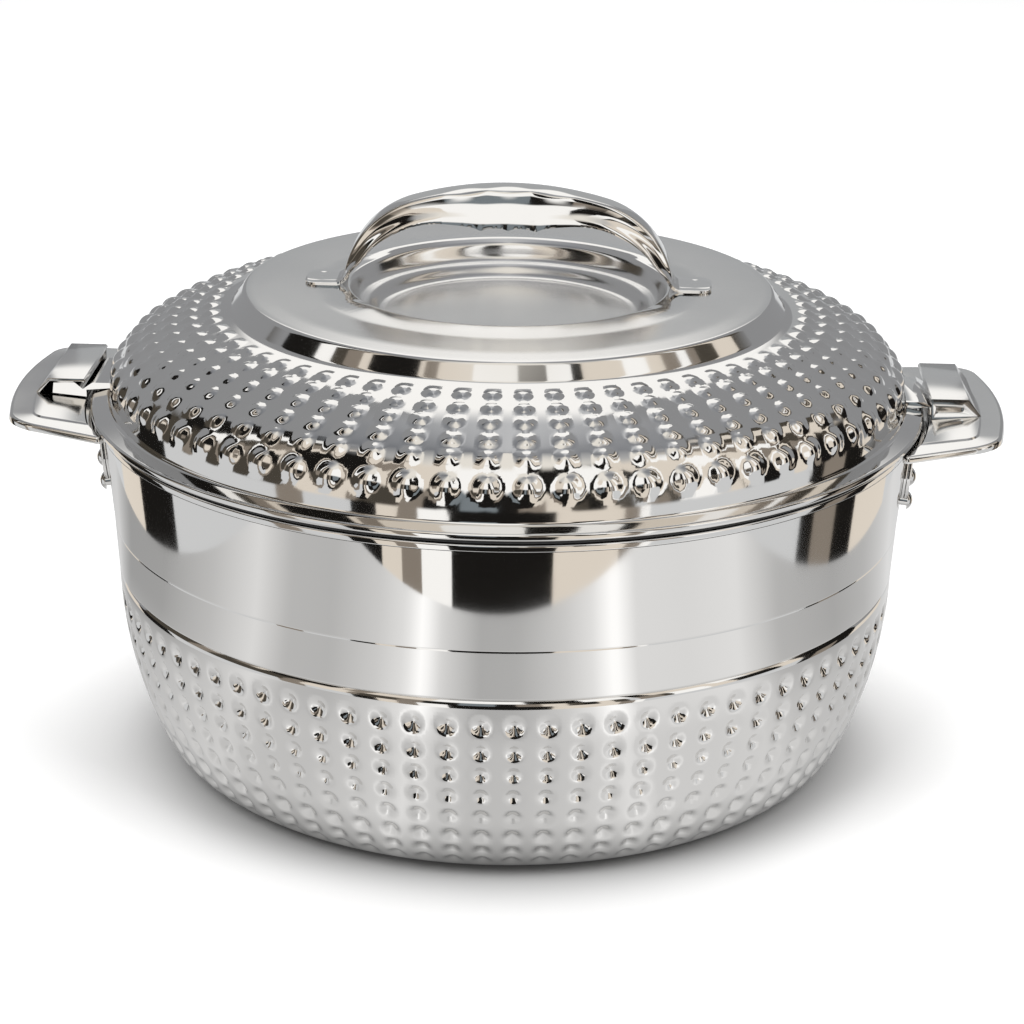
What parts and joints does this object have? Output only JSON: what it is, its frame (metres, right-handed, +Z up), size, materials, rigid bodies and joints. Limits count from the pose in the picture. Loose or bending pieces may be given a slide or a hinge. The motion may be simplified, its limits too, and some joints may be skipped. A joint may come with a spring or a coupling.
{
  "type": "insulated casserole with twist-lock lid",
  "caption": "Round double-walled steel hot pot with foam insulation, dimpled belly, domed lid with bow handle, rim seal, and side handles whose keepers lock the lid by a twist.",
  "frame": {"origin": "centre of the foot ring, on the surface the pot stands on", "axes": "+Z up along the pot's axis; the side handles lie along X; the front, where the right handle's keeper is closed by a wall, faces -Y"},
  "size_m": [0.3578, 0.3, 0.2095],
  "materials": {
    "body_steel": "mirror polished above the step, satin and dimpled on the belly",
    "lid_steel": "mirror polished, with raised bumps on the dome",
    "bowl_steel": "satin stainless steel",
    "handle_steel": "polished stainless steel",
    "seal_rubber": "matt black",
    "plug_plastic": "matt moulded plastic",
    "foam": "rigid polyurethane foam, porous"
  },
  "bodies": {
    "pot": {"outer_shell": "body_steel", "inner_bowl": "bowl_steel", "pot_insulation": "foam", "base_fill_plug": "plug_plastic", "left_side_handle": "handle_steel", "right_side_handle": "handle_steel", "left_keeper": "handle_steel", "right_keeper": "handle_steel", "handle_rivets": "handle_steel", "left_rivet_backing": "bowl_steel", "right_rivet_backing": "bowl_steel"},
    "seal": {"rim_seal": "seal_rubber"},
    "lid": {"lid_shell": "lid_steel", "lid_liner": "bowl_steel", "lid_insulation": "foam", "lid_fill_plug": "plug_plastic", "lid_handle": "handle_steel", "left_lid_tab": "handle_steel", "right_lid_tab": "handle_steel"}
  },
  "joints": [
    {"name": "lid_lift", "type": "slide", "parent": "pot", "child": "seal", "axis": [0, 0, 1], "range_m": [0, 0.15]},
    {"name": "lid_twist", "type": "hinge", "parent": "seal", "child": "lid", "pos_m": [0, 0, 0.1314], "axis": [0, 0, 1], "range_deg": [0, 20]}
  ]
}
